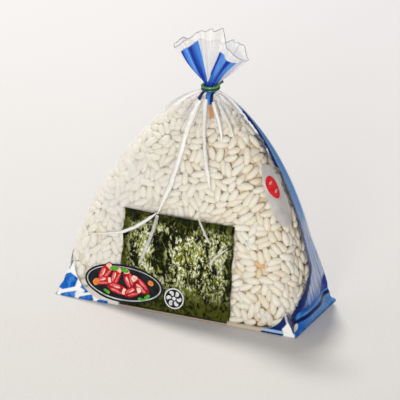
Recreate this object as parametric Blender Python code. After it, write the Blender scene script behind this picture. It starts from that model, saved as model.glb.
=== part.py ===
"""An onigiri rice ball standing in a clear bag whose top is gathered and tied.

Metres, +Z up. The origin is the middle of the square bottom, on the surface that the bag stands on.
The front, where the nori shows, faces -Y. The bag's solid holds the rice: its wall is a film thinner
than a hair, so the solid runs out to the film's outer face, pleats and corners included.
"""

import math

import bmesh
import bpy
import numpy as np

MM = 0.001

# The bag below its tie
BAG_WIDTH = 110 * MM
BAG_DEPTH = 42 * MM
NECK_HEIGHT = 97 * MM
NECK_RADIUS = 2.3 * MM
NECK_LENGTH = 3.4 * MM  # the straight stretch that the tie grips
NECK_SHIFT = (6.6 * MM, 0.5 * MM)  # the gather stands right of the middle
RICE_SHIFT = -1.5 * MM  # the rice sits a little left in its bag
LEAN_START = 20 * MM  # above this the body leans towards the neck
BODY_LEAN = 0.125  # how fast the front and back close in, per unit of height
SHOULDER_POWER = 1.5
SHOULDER_ROUND = 0.65
SQUARENESS = 3.4  # superellipse exponent of a section near the bottom
NECK_ROUNDNESS = 2.0

# The film's corners, which stand off the rice
CORNER_REACH = 5  # columns either side that a corner draws the film out over
CORNER_SHARPNESS = 1.4
BACK_STAND_OFF = 0.8
FRONT_EAR_TOP = 28 * MM
HEM_HEIGHT = 6 * MM
HEM_FOLD = 0.8 * MM

# The pleats that run down from the tie
PLEATS = 12
PLEAT_DEPTH = 1.1 * MM
NECK_PLEAT_DEPTH = 0.25 * MM
PLEAT_START = 42 * MM
PLEAT_FULL = 84 * MM  # where they are deepest

# The loose mouth of the bag above the tie
MOUTH_WIDTH = 33.2 * MM
MOUTH_DEPTH = 9 * MM
RUFFLE = 1.6 * MM
RUFFLES = 2.5
# Where its open edge is: share of the half width, from the left corner to the right, and rise above the tie
FRONT_EDGE = (
    (-1, 15.5 * MM), (-0.85, 17.2 * MM), (-0.5, 22 * MM), (-0.08, 27.6 * MM), (-0.02, 26.5 * MM),
    (0.2, 28 * MM), (0.42, 28.6 * MM), (0.5, 19.5 * MM), (0.66, 20.2 * MM), (0.84, 15 * MM), (1, 14.6 * MM),
)
BACK_EDGE = (
    (-1, 15.5 * MM), (-0.84, 19.5 * MM), (-0.75, 17.8 * MM), (0.25, 19.3 * MM),
    (0.68, 21.2 * MM), (0.88, 19.3 * MM), (0.95, 15.6 * MM), (1, 14.6 * MM),
)

# The nori strip, folded round the bottom from front to back
NORI_WIDTH = 50 * MM
NORI_HEIGHT = 44 * MM
NORI_THICKNESS = 0.6 * MM
GAP = 0.3 * MM

# The twist tie: two turns round the neck and a short twisted tail at the back
TIE_RADIUS = 0.6 * MM
TIE_TURNS = 2
TIE_PITCH = 1.3 * MM
TIE_SLACK = 0.35 * MM
TAIL_LENGTH = 3.5 * MM
TAIL_TWISTS = 1.5
TAIL_DIRECTION = math.radians(80)

FRONT_COLUMNS = 26
SIDE_COLUMNS = 10
COLUMNS = 2 * (FRONT_COLUMNS + SIDE_COLUMNS)
MOUTH_ROWS = 8


def smoothstep(low, high, value):
    share = np.clip((value - low) / (high - low), 0, 1)
    return share * share * (3 - 2 * share)


def column_turns(steps=1):
    """The angle of each column round a circle, from the middle of the front towards +X."""
    corners = np.radians([-90, -45, 45, 135, 225, 270])
    counts = [FRONT_COLUMNS // 2, SIDE_COLUMNS, FRONT_COLUMNS, SIDE_COLUMNS, FRONT_COLUMNS // 2]
    stretches = [
        np.linspace(start, end, count * steps, endpoint=False)
        for start, end, count in zip(corners, corners[1:], counts)
    ]
    return np.concatenate(stretches)


def corner_columns():
    """Columns of the front right, back right, back left and front left corners."""
    front, side = FRONT_COLUMNS // 2, SIDE_COLUMNS
    return front, front + side, front + side + FRONT_COLUMNS, front + 2 * side + FRONT_COLUMNS


def superellipse(half_width, half_depth, exponent):
    """A closed outline with a point for each column. Its four corners always fall on the same columns."""
    fine = 24
    turn = column_turns(fine)
    cosine, sine = np.cos(turn), np.sin(turn)
    x = half_width * np.sign(cosine) * np.abs(cosine) ** (2 / exponent)
    y = half_depth * np.sign(sine) * np.abs(sine) ** (2 / exponent)
    x, y = np.append(x, x[0]), np.append(y, y[0])
    travelled = np.concatenate([[0], np.cumsum(np.hypot(np.diff(x), np.diff(y)))])
    corners = [0, *corner_columns(), COLUMNS]
    at = np.interp(np.arange(COLUMNS), corners, travelled[np.array(corners) * fine])
    return np.interp(at, travelled, x), np.interp(at, travelled, y)


def pleat_wave():
    """Rises to 1 on each fold's ridge. The folds are uneven, as gathered film is."""
    share = np.arange(COLUMNS) / COLUMNS
    uneven = PLEATS * share + 0.3 * np.sin(2 * math.pi * 3 * share + 0.6)
    return 1 - 2 * np.abs(np.sin(math.pi * uneven)) ** 0.8


def middle_of(z):
    """Where the middle of a section lies in X and Y."""
    low = RICE_SHIFT * smoothstep(0, FRONT_EAR_TOP, z)
    towards_neck = np.clip((z - LEAN_START) / (NECK_HEIGHT - LEAN_START), 0, 1) ** 1.2
    return low + (NECK_SHIFT[0] - RICE_SHIFT) * towards_neck, NECK_SHIFT[1] * towards_neck


def rectangle(half_width, half_depth):
    """A closed outline with sharp corners, on the same columns as the superellipse's."""
    corners = [0, *corner_columns(), COLUMNS]
    columns = np.arange(COLUMNS)
    x = np.interp(columns, corners, np.array([0, 1, 1, -1, -1, 0]) * half_width)
    y = np.interp(columns, corners, np.array([-1, -1, 1, 1, -1, -1]) * half_depth)
    return x, y


def near_column(column, reach):
    """1 at one column, fading to 0 over the columns either side."""
    away = np.abs((np.arange(COLUMNS) - column + COLUMNS / 2) % COLUMNS - COLUMNS / 2)
    return np.clip(1 - away / reach, 0, 1)


def squareness_at(z, rise):
    """How far each column lies from the rice's round outline, 0, to the bag's square one, 1."""
    front_right, back_right, back_left, front_left = corner_columns()
    back = near_column(back_right, CORNER_REACH) + near_column(back_left, CORNER_REACH)
    front = near_column(front_right, CORNER_REACH) + near_column(front_left, CORNER_REACH)
    at_back = back**CORNER_SHARPNESS * BACK_STAND_OFF * (1 - rise**6)
    at_front = front**CORNER_SHARPNESS * max(1 - z / FRONT_EAR_TOP, 0)
    at_bottom = 1 - smoothstep(0, HEM_HEIGHT, z)
    return np.maximum(np.maximum(at_back, at_front), at_bottom)


def hem_fold(z):
    """The crease along the top of the folded hem on the two sides."""
    reach = SIDE_COLUMNS / 2 + 1
    sides = near_column(COLUMNS // 4, reach) + near_column(3 * COLUMNS // 4, reach)
    return HEM_FOLD * np.minimum(3 * sides, 1) * math.exp(-(((z - HEM_HEIGHT) / (0.25 * HEM_HEIGHT)) ** 2))


def body_section(z, inset=0.0):
    """One level outline of the bag below the tie, drawn in by inset."""
    rise = min(z / (NECK_HEIGHT - NECK_LENGTH / 2), 1)
    half_width = NECK_RADIUS + (BAG_WIDTH / 2 - NECK_RADIUS) * (1 - rise**SHOULDER_POWER) ** SHOULDER_ROUND
    depth_there = BAG_DEPTH / 2 - BODY_LEAN * z
    half_depth = NECK_RADIUS + (depth_there - NECK_RADIUS) * math.sqrt(1 - rise**5)
    exponent = NECK_ROUNDNESS + (SQUARENESS - NECK_ROUNDNESS) * (1 - rise**3)
    wide, deep = half_width - inset, half_depth - inset
    x, y = superellipse(wide, deep, exponent)

    out = np.stack([x, y]) / np.maximum(np.hypot(x, y), 1e-9)
    fold = PLEAT_DEPTH * smoothstep(PLEAT_START, PLEAT_FULL, z)
    fold += (NECK_PLEAT_DEPTH - PLEAT_DEPTH) * smoothstep(PLEAT_FULL, NECK_HEIGHT - NECK_LENGTH / 2, z)
    x, y = np.stack([x, y]) + out * fold * pleat_wave()

    square_x, square_y = rectangle(wide, deep)
    square = squareness_at(z, rise)
    x, y = x + (square_x - x) * square, y + (square_y - y) * square
    x = x - np.sign(x) * hem_fold(z)

    middle_x, middle_y = middle_of(z)
    return np.stack([x + middle_x, y + middle_y, np.full(COLUMNS, z)], axis=1)


def mouth_rise(turn):
    """How high each part of the bag's open edge stands above the tie. turn runs from the front."""
    across = np.sin(turn)
    front = np.interp(across, *zip(*FRONT_EDGE))
    back = np.interp(across, *zip(*BACK_EDGE))
    return np.where(np.cos(turn) > 0, front, back)


def mouth_section(rise):
    """One outline of the gathered film above the tie. rise runs from 0 at the tie to 1 at the edge."""
    turn = column_turns() + math.pi / 2
    spread = rise**0.85
    half_width = NECK_RADIUS + (MOUTH_WIDTH / 2 - NECK_RADIUS) * spread
    half_depth = NECK_RADIUS + (MOUTH_DEPTH / 2 - NECK_RADIUS) * spread
    across = np.sin(turn)
    ruffle = RUFFLE * spread * np.sin(2 * math.pi * RUFFLES * across + 0.4)
    fold = NECK_PLEAT_DEPTH * (1 + 2 * rise) * pleat_wave()
    x = (half_width + fold) * across + NECK_SHIFT[0]
    y = -(half_depth + fold) * np.cos(turn) + ruffle + NECK_SHIFT[1]
    z = NECK_HEIGHT + NECK_LENGTH / 2 + (mouth_rise(turn) - NECK_LENGTH / 2) * rise
    return np.stack([x, y, z], axis=1)


def object_of(name, bm):
    bmesh.ops.recalc_face_normals(bm, faces=bm.faces)
    mesh = bpy.data.meshes.new(name)
    bm.to_mesh(mesh)
    bm.free()
    made = bpy.data.objects.new(name, mesh)
    bpy.context.scene.collection.objects.link(made)
    return made


def loft(name, rings, gathered_top):
    """A closed solid through the rings. A gathered top is closed from its front edge to its back edge."""
    bm = bmesh.new()
    rows = [[bm.verts.new(point) for point in ring] for ring in rings]
    for lower, upper in zip(rows, rows[1:]):
        for i in range(COLUMNS):
            j = (i + 1) % COLUMNS
            bm.faces.new((lower[i], lower[j], upper[j], upper[i]))
    bm.faces.new(list(reversed(rows[0])))
    if gathered_top:
        edge = rows[-1]
        quarter, half = COLUMNS // 4, COLUMNS // 2
        for i in range(-quarter, quarter):
            corners = (edge[i], edge[i + 1], edge[(half - i - 1) % COLUMNS], edge[(half - i) % COLUMNS])
            bm.faces.new(tuple(dict.fromkeys(corners)))
    else:
        bm.faces.new(rows[-1])
    return object_of(name, bm)


def body_levels(top):
    """Heights of the sections, close together at the square bottom and at the shoulder."""
    shoulder = NECK_HEIGHT - NECK_LENGTH / 2
    levels = np.concatenate([
        np.array([0, 1.2, 2.6, 4.4, 6.6, 9.5, 13]) * MM,
        np.arange(18, 84, 6) * MM,
        shoulder - np.array([11.3, 8.3, 5.8, 3.8, 2.3, 1.2, 0.5, 0]) * MM,
    ])
    return levels[levels <= top]


def make_bag():
    body = [body_section(z) for z in body_levels(NECK_HEIGHT)]
    mouth = [mouth_section(i / MOUTH_ROWS) for i in range(MOUTH_ROWS + 1)]
    return loft("bag", body + mouth, gathered_top=True)


def make_core(name, inset):
    """The lower bag drawn in by inset all round and at the bottom. It shapes the nori and its bed."""
    levels = [z for z in body_levels(1.5 * NORI_HEIGHT) if z > inset]
    rings = [body_section(inset, inset)] + [body_section(z, inset) for z in levels]
    return as_helper(loft(name, rings, gathered_top=False))


def make_block(name, half_width, top):
    """A block as wide as the nori and deeper than the bag."""
    bm = bmesh.new()
    bmesh.ops.create_cube(bm, size=1)
    low = -5 * MM
    bmesh.ops.scale(bm, vec=(2 * half_width, 1.5 * BAG_DEPTH, top - low), verts=bm.verts)
    bmesh.ops.translate(bm, vec=(0, 0, (top + low) / 2), verts=bm.verts)
    return object_of(name, bm)


def as_helper(made):
    made.hide_render = True
    made.display_type = "WIRE"
    return made


def boolean(made, operation, other):
    modifier = made.modifiers.new(operation.title(), "BOOLEAN")
    modifier.operation = operation
    modifier.solver = "EXACT"
    modifier.object = other


def make_nori():
    nori = make_block("nori", NORI_WIDTH / 2, NORI_HEIGHT)
    boolean(nori, "DIFFERENCE", make_core("nori_back", GAP + NORI_THICKNESS))
    boolean(nori, "INTERSECT", make_core("nori_face", GAP))
    return nori


def bed_nori(bag):
    """Cuts the shallow bed that the nori lies in, with a gap all round it."""
    bed = as_helper(make_block("nori_bed", NORI_WIDTH / 2 + GAP, NORI_HEIGHT + GAP))
    boolean(bed, "DIFFERENCE", make_core("nori_bed_floor", GAP + NORI_THICKNESS + GAP))
    boolean(bag, "DIFFERENCE", bed)


def tie_route():
    """Points along the wire: in along the tail, round the neck, and out along the tail."""
    radius = NECK_RADIUS + NECK_PLEAT_DEPTH + TIE_RADIUS + TIE_SLACK
    steps_per_turn = 24
    turns = np.linspace(0, TIE_TURNS, TIE_TURNS * steps_per_turn + 1)
    angle = TAIL_DIRECTION + 2 * math.pi * turns
    height = TIE_PITCH * (turns - TIE_TURNS / 2)
    ring = np.stack([radius * np.cos(angle), radius * np.sin(angle), height], axis=1)

    along = np.linspace(0, 1, 17)[1:]
    out = np.array([math.cos(TAIL_DIRECTION), math.sin(TAIL_DIRECTION), 0])
    aside = np.array([-math.sin(TAIL_DIRECTION), math.cos(TAIL_DIRECTION), 0])
    up = np.array([0, 0, 1.0])
    offset = TIE_RADIUS + 0.2 * MM
    tails = []
    for side, end in ((-1, ring[0]), (1, ring[-1])):
        phase = math.pi / 2 * side + 2 * math.pi * TAIL_TWISTS * along
        settle = smoothstep(0, 0.3, along)[:, None]
        twist = offset * (np.cos(phase)[:, None] * aside + np.sin(phase)[:, None] * up)
        straight = np.outer((1.2 * MM + TAIL_LENGTH) * along, out)
        tails.append(end * (1 - settle) + radius * out * settle + straight + twist * settle)
    return np.concatenate([tails[0][::-1], ring, tails[1]])


def make_tie():
    route = tie_route() + np.array([*NECK_SHIFT, NECK_HEIGHT])
    curve = bpy.data.curves.new("twist_tie", "CURVE")
    curve.dimensions = "3D"
    curve.bevel_depth = TIE_RADIUS
    curve.bevel_resolution = 1
    curve.use_fill_caps = True
    spline = curve.splines.new("POLY")
    spline.points.add(len(route) - 1)
    for point, place in zip(spline.points, route):
        point.co = (*place, 1)
    made = bpy.data.objects.new("twist_tie", curve)
    bpy.context.scene.collection.objects.link(made)
    return made


def paint(made, colour, roughness):
    material = bpy.data.materials.new(made.name)
    material.use_nodes = True
    shader = material.node_tree.nodes["Principled BSDF"]
    shader.inputs["Base Color"].default_value = (*colour, 1)
    shader.inputs["Roughness"].default_value = roughness
    shader.inputs["Metallic"].default_value = 0
    made.data.materials.append(material)


def main():
    for old in list(bpy.data.objects):
        bpy.data.objects.remove(old)
    bag = make_bag()
    nori = make_nori()
    bed_nori(bag)
    tie = make_tie()
    paint(bag, (0.84, 0.80, 0.70), 0.3)
    paint(nori, (0.02, 0.035, 0.012), 0.5)
    paint(tie, (0.01, 0.30, 0.12), 0.4)


main()
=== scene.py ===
import math

import bmesh
import bpy
import numpy as np
from mathutils import Matrix, Vector
from mathutils.bvhtree import BVHTree


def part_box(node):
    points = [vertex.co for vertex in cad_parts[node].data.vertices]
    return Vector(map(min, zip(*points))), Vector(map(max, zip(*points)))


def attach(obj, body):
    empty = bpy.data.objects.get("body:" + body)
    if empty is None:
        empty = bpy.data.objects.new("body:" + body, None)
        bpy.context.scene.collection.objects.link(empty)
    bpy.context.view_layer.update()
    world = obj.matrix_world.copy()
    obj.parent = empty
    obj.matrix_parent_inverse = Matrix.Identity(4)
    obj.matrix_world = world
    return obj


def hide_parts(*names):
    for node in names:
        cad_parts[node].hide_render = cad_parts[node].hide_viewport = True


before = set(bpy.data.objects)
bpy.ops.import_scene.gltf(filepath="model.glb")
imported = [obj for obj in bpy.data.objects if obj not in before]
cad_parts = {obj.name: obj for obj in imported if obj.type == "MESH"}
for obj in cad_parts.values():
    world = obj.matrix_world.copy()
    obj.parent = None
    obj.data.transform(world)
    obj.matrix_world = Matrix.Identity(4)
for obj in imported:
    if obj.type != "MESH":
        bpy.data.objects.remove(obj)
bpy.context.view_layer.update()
mm = 0.001
bagLow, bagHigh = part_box("bag")
tieLow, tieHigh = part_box("twist_tie")
noriLow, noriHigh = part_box("nori")
noriShift = -0.9 * mm  # the sheet lies a little left of the middle
print("frame loaded")



def ease(low, high, value):
    share = np.clip((value - low) / (high - low), 0, 1)
    return share * share * (3 - 2 * share)


def pieceOf(name, bm, material, replaced=None, smooth=True):
    mesh = bpy.data.meshes.new(name)
    bm.to_mesh(mesh)
    bm.free()
    return placed(name, mesh, material, replaced, smooth)


def placed(name, mesh, material, replaced=None, smooth=True):
    if smooth:
        mesh.shade_smooth()
    made = bpy.data.objects.new(name, mesh)
    bpy.context.scene.collection.objects.link(made)
    for one in material if isinstance(material, (list, tuple)) else [material]:
        mesh.materials.append(one)
    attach(made, "root")
    if replaced:
        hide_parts(replaced)
    return made


def linear(red, green, blue):  # a colour as it shows on screen, 0 to 255, to the shader's own scale
    shown = np.array([red, green, blue]) / 255
    return (*np.where(shown <= 0.04045, shown / 12.92, ((shown + 0.055) / 1.055) ** 2.4), 1.0)


class Wire:  # a socket that takes part in sums
    def __init__(self, socket):
        self.socket = socket

    def sum(self, operation, *others, flip=False):
        tree = self.socket.id_data
        node = tree.nodes.new("ShaderNodeMath")
        node.operation = operation
        terms = [self, *others]
        if flip:
            terms.reverse()
        for slot, term in zip(node.inputs, terms):
            if isinstance(term, Wire):
                tree.links.new(term.socket, slot)
            else:
                slot.default_value = term
        return Wire(node.outputs[0])

    def __add__(self, other):
        return self.sum("ADD", other)

    def __radd__(self, other):
        return self.sum("ADD", other)

    def __sub__(self, other):
        return self.sum("SUBTRACT", other)

    def __rsub__(self, other):
        return self.sum("SUBTRACT", other, flip=True)

    def __mul__(self, other):
        return self.sum("MULTIPLY", other)

    def __rmul__(self, other):
        return self.sum("MULTIPLY", other)

    def __truediv__(self, other):
        return self.sum("DIVIDE", other)

    def __pow__(self, other):
        return self.sum("POWER", other)

    def __neg__(self):
        return self.sum("MULTIPLY", -1.0)

    def __abs__(self):
        return self.sum("ABSOLUTE")

    def least(self, other):
        return self.sum("MINIMUM", other)

    def most(self, other):
        return self.sum("MAXIMUM", other)

    def wrap(self, length):  # the remainder, never negative
        return self.sum("FLOORED_MODULO", length)

    def over(self, edge, soft):  # 0 below the edge, 1 above it
        return ((self - edge) / soft + 0.5).least(1.0).most(0.0)

    def under(self, edge, soft):
        return 1.0 - self.over(edge, soft)


class Finish:  # one material and its nodes
    def __init__(self, name, roughness=0.5, **constants):
        self.material = bpy.data.materials.new(name)
        self.material.use_nodes = True
        self.tree = self.material.node_tree
        self.shader = self.tree.nodes["Principled BSDF"]
        self.shader.inputs["Roughness"].default_value = roughness
        for socket, value in constants.items():
            self.shader.inputs[socket.replace("_", " ")].default_value = value

    def node(self, kind, settings=None, sockets=None, out=0):
        made = self.tree.nodes.new(kind)
        for key, value in (settings or {}).items():
            if key == "stops":
                ramp = made.color_ramp
                while len(ramp.elements) < len(value):
                    ramp.elements.new(0.5)
                for element, (place, colour) in zip(ramp.elements, value):
                    element.position = place
                    element.color = colour
            else:
                setattr(made, key, value)
        for key, value in (sockets or {}).items():
            if isinstance(value, Wire):
                self.tree.links.new(value.socket, made.inputs[key])
            else:
                made.inputs[key].default_value = value
        return Wire(made.outputs[out])

    def spot(self):  # Object coordinates in millimetres
        place = self.node("ShaderNodeTexCoord", out="Object")
        return self.node("ShaderNodeVectorMath", {"operation": "SCALE"}, {0: place, "Scale": 1000.0})

    def parts(self, vector):
        split = self.node("ShaderNodeSeparateXYZ", sockets={0: vector})
        outs = split.socket.node.outputs
        return Wire(outs[0]), Wire(outs[1]), Wire(outs[2])

    def vector(self, x, y, z=0.0):
        return self.node("ShaderNodeCombineXYZ", sockets={0: x, 1: y, 2: z})

    def noise(self, where, size, detail=3.0, rough=0.55, bend=0.0):  # size in millimetres
        return self.node(
            "ShaderNodeTexNoise",
            sockets={"Vector": where, "Scale": 1 / size, "Detail": detail, "Roughness": rough, "Distortion": bend},
        )

    def mix(self, first, second, share, blend="MIX"):
        made = self.node("ShaderNodeMix", {"data_type": "RGBA", "blend_type": blend}, {0: share, 6: first, 7: second}, out=2)
        return made

    def attribute(self, name):
        return self.node("ShaderNodeAttribute", {"attribute_name": name}, out="Fac")

    def feed(self, **wires):
        for socket, wire in wires.items():
            self.tree.links.new(wire.socket, self.shader.inputs[socket.replace("_", " ")])
        return self.material

    def bump(self, height, strength, depth):
        return self.node("ShaderNodeBump", sockets={"Height": height, "Strength": strength, "Distance": depth})



bagForm = {
    "halfWidth": (bagHigh.x - bagLow.x) / 2,
    "halfDepth": (bagHigh.y - bagLow.y) / 2,
    "neckHeight": (tieLow.z + tieHigh.z) / 2,
    "neckRadius": 2.3 * mm,
    "neckLength": 3.4 * mm,
    "neckShift": (6.6 * mm, 0.5 * mm),
    "riceShift": -1.5 * mm,
    "leanStart": 20 * mm,
    "lean": 0.125,
    "shoulderPower": 1.5,
    "shoulderRound": 0.65,
    "squareness": 3.4,
    "cornerReach": 5 / 72,
    "backStandOff": 0.8,
    "earTop": 28 * mm,
    "hemHeight": 6 * mm,
    "hemFold": 0.8 * mm,
    "pleats": 12,
    "pleatDepth": 1.1 * mm,
    "neckPleatDepth": 0.25 * mm,
    "pleatStart": 42 * mm,
    "pleatFull": 84 * mm,
}
mouthForm = {
    "width": 33.2 * mm,
    "depth": 9 * mm,
    "ruffle": 1.6 * mm,
    "ruffles": 2.5,
    # where the open edge is: share of the half width from left to right, and millimetres above the tie
    "frontEdge": (
        (-1, 15.5), (-0.85, 17.2), (-0.5, 22), (-0.08, 27.6), (-0.02, 26.5),
        (0.2, 28), (0.42, 28.6), (0.5, 19.5), (0.66, 20.2), (0.84, 15), (1, 14.6),
    ),
    "backEdge": ((-1, 15.5), (-0.84, 19.5), (-0.75, 17.8), (0.25, 19.3), (0.68, 21.2), (0.88, 19.3), (0.95, 15.6), (1, 14.6)),
}
finer = 4
frontColumns, sideColumns = 26 * finer, 10 * finer
columns = 2 * (frontColumns + sideColumns)
around = np.arange(columns) / columns
corners = [0, frontColumns // 2, frontColumns // 2 + sideColumns, 3 * frontColumns // 2 + sideColumns, columns - frontColumns // 2, columns]
frontRight, backRight, backLeft, frontLeft = (corner / columns for corner in corners[1:5])


def columnTurns(steps=1):
    angles = np.radians([-90, -45, 45, 135, 225, 270])
    runs = [
        np.linspace(start, end, (after - before) * steps, endpoint=False)
        for start, end, before, after in zip(angles, angles[1:], corners, corners[1:])
    ]
    return np.concatenate(runs)


def roundOutline(halfWidth, halfDepth, exponent):
    fine = 6
    turn = columnTurns(fine)
    x = halfWidth * np.sign(np.cos(turn)) * np.abs(np.cos(turn)) ** (2 / exponent)
    y = halfDepth * np.sign(np.sin(turn)) * np.abs(np.sin(turn)) ** (2 / exponent)
    x, y = np.append(x, x[0]), np.append(y, y[0])
    travelled = np.concatenate([[0], np.cumsum(np.hypot(np.diff(x), np.diff(y)))])
    at = np.interp(np.arange(columns), corners, travelled[np.array(corners) * fine])
    return np.interp(at, travelled, x), np.interp(at, travelled, y)


def squareOutline(halfWidth, halfDepth):
    x = np.interp(np.arange(columns), corners, np.array([0, 1, 1, -1, -1, 0]) * halfWidth)
    y = np.interp(np.arange(columns), corners, np.array([-1, -1, 1, 1, -1, -1]) * halfDepth)
    return x, y


def pleatWave(count, drift=0.3):
    uneven = count * around + drift * np.sin(2 * math.pi * 3 * around + 0.6)
    return 1 - 2 * np.abs(np.sin(math.pi * uneven)) ** 0.8


def nearCorner(where, reach):
    away = np.abs((around - where + 0.5) % 1 - 0.5)
    return np.clip(1 - away / reach, 0, 1)


def middleOf(z):
    low = bagForm["riceShift"] * ease(0, bagForm["earTop"], z)
    up = np.clip((z - bagForm["leanStart"]) / (bagForm["neckHeight"] - bagForm["leanStart"]), 0, 1) ** 1.2
    return low + (bagForm["neckShift"][0] - bagForm["riceShift"]) * up, bagForm["neckShift"][1] * up


def halfSizes(z):
    shoulder = bagForm["neckHeight"] - bagForm["neckLength"] / 2
    rise = min(z / shoulder, 1)
    neck = bagForm["neckRadius"]
    width = neck + (bagForm["halfWidth"] - neck) * (1 - rise ** bagForm["shoulderPower"]) ** bagForm["shoulderRound"]
    depth = neck + (bagForm["halfDepth"] - bagForm["lean"] * z - neck) * math.sqrt(1 - rise**5)
    return width, depth, 2 + (bagForm["squareness"] - 2) * (1 - rise**3), rise


def pleatDepthAt(z):
    shoulder = bagForm["neckHeight"] - bagForm["neckLength"] / 2
    deep, shallow = bagForm["pleatDepth"], bagForm["neckPleatDepth"]
    return deep * ease(bagForm["pleatStart"], bagForm["pleatFull"], z) + (shallow - deep) * ease(bagForm["pleatFull"], shoulder, z)


def bagSection(z):
    width, depth, exponent, rise = halfSizes(z)
    x, y = roundOutline(width, depth, exponent)
    out = np.stack([x, y]) / np.maximum(np.hypot(x, y), 1e-9)
    x, y = np.stack([x, y]) + out * (pleatDepthAt(z) * pleatWave(bagForm["pleats"]))

    back = (nearCorner(backRight, bagForm["cornerReach"]) + nearCorner(backLeft, bagForm["cornerReach"])) ** 1.4
    front = (nearCorner(frontRight, bagForm["cornerReach"]) + nearCorner(frontLeft, bagForm["cornerReach"])) ** 1.4
    square = np.maximum(back * bagForm["backStandOff"] * (1 - rise**6), front * max(1 - z / bagForm["earTop"], 0))
    square = np.maximum(square, 1 - ease(0, bagForm["hemHeight"], z))
    squareX, squareY = squareOutline(width, depth)
    x, y = x + (squareX - x) * square, y + (squareY - y) * square

    reach = 6 / 72
    side = np.minimum(3 * (nearCorner(0.25, reach) + nearCorner(0.75, reach)), 1)
    hem = bagForm["hemHeight"]
    x = x - np.sign(x) * bagForm["hemFold"] * side * math.exp(-(((z - hem) / (0.25 * hem)) ** 2))
    middleX, middleY = middleOf(z)
    return np.stack([x + middleX, y + middleY, np.full(columns, z)], axis=1)


def mouthSection(rise):
    form = mouthForm
    turn = columnTurns() + math.pi / 2
    across = np.sin(turn)
    front = np.interp(across, *zip(*form["frontEdge"]))
    back = np.interp(across, *zip(*form["backEdge"]))
    edge = np.where(np.cos(turn) > 0, front, back) * mm

    spread = rise**0.85
    neck = bagForm["neckRadius"]
    width = neck + (form["width"] / 2 - neck) * spread
    depth = neck + (form["depth"] / 2 - neck) * spread
    ruffle = form["ruffle"] * spread * np.sin(2 * math.pi * form["ruffles"] * across + 0.4)
    fold = bagForm["neckPleatDepth"] * (1 + 2 * rise) * pleatWave(bagForm["pleats"])
    crinkle = 0.22 * mm * math.sin(math.pi * min(rise * 1.3, 1)) * pleatWave(37, 0.9)
    x = (width + fold) * across + bagForm["neckShift"][0]
    y = -(depth + fold + crinkle) * np.cos(turn) + ruffle + bagForm["neckShift"][1]
    half = bagForm["neckLength"] / 2
    z = bagForm["neckHeight"] + half + (edge - half) * rise
    return np.stack([x, y, z], axis=1)


riceForm = {
    "gap": 0.4 * mm,  # between the film and the outermost grains
    "leftRound": 7.5 * mm,  # how the rice curves in at the two bottom ends
    "rightRound": 11.5 * mm,
    "faceRound": 0.7 * mm,
    "lowSquare": 2.6,  # how much squarer the rice is near the bottom
    "backSquare": 0.72,  # and how far it reaches into the two back corners
    "clear": 0.35 * mm,  # least distance kept from the film
    "edgeDepth": 4 * mm,  # grains further out than this, front to back or
    "edgeReach": 12 * mm,  # sideways, are checked corner by corner
    "top": 93.5 * mm,
    "topRound": 7 * mm,
    "length": 7.3 * mm,
    "width": 3.4 * mm,
    "thickness": 2.8 * mm,
    "cover": 1.42,  # grain area over surface area, in the outer layer
    "crowding": 0.76,  # how near two grains' middles lie, over a grain's width
    "settling": 45,  # rounds of pushing the outer grains apart
}


def roundCut(radius, z):  # how far a rounded bottom edge is drawn in at this height
    return radius - math.sqrt(max(radius**2 - max(radius - z, 0) ** 2, 0))


def riceSection(z, inset):
    width, depth, exponent, rise = halfSizes(z)
    inset = inset + max(pleatDepthAt(z), 0)
    over = max(z - riceForm["top"] + riceForm["topRound"] + inset, 0) / riceForm["topRound"]
    top = math.sqrt(max(1 - over**2, 0))
    faceCut = roundCut(riceForm["faceRound"], z)
    exponent = exponent + riceForm["lowSquare"] * (1 - ease(10 * mm, 40 * mm, z))
    x, y = roundOutline(max((width - inset) * top, 0), max((depth - inset - faceCut) * top, 0), exponent)
    leftShare = 1 - roundCut(riceForm["leftRound"], z) / width
    rightShare = 1 - roundCut(riceForm["rightRound"], z) / width
    x = np.where(x < 0, x * leftShare, x * rightShare)
    square = (nearCorner(backRight, bagForm["cornerReach"]) + nearCorner(backLeft, bagForm["cornerReach"])) * riceForm["backSquare"] * (1 - rise**6)
    squareX, squareY = squareOutline(max((width - inset) * top, 0), max((depth - inset - faceCut) * top, 0))
    x, y = x + (squareX - x) * square, y + (squareY - y) * square
    middleX, middleY = middleOf(z)
    return np.stack([x + middleX, y + middleY, np.full(columns, z)], axis=1)


def keptInside(place, clear):  # the place itself, or the nearest one this far inside the film
    near, normal, _, _ = filmTree.find_nearest(Vector(place))
    heart = Vector((0, 0, 30 * mm))
    if normal.dot(near - heart) < 0:
        normal = -normal
    past = (Vector(place) - near).dot(normal) + clear
    return np.array(Vector(place) - normal * past) if past > 0 else np.array(place)


def wrapGrid(rings, heights, name="wrap"):
    # a flat grid drawn round the rings, with its own map: share of the way round, and heights
    rings = np.array(rings)
    rows = len(rings)
    bm = bmesh.new()
    bm.loops.layers.uv.new(name)
    bmesh.ops.create_grid(bm, x_segments=columns, y_segments=rows - 1, size=0.5, calc_uvs=True)
    layer = bm.loops.layers.uv.active
    for face in bm.faces:
        for loop in face.loops:
            row = round((loop.vert.co.y + 0.5) * (rows - 1))
            loop[layer].uv = (loop.vert.co.x + 0.5, heights[row])
    for vert in bm.verts:
        row = round((vert.co.y + 0.5) * (rows - 1))
        vert.co = rings[row, round((vert.co.x + 0.5) * columns) % columns]
    bmesh.ops.remove_doubles(bm, verts=bm.verts, dist=0.001 * mm)
    return bm



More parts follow.
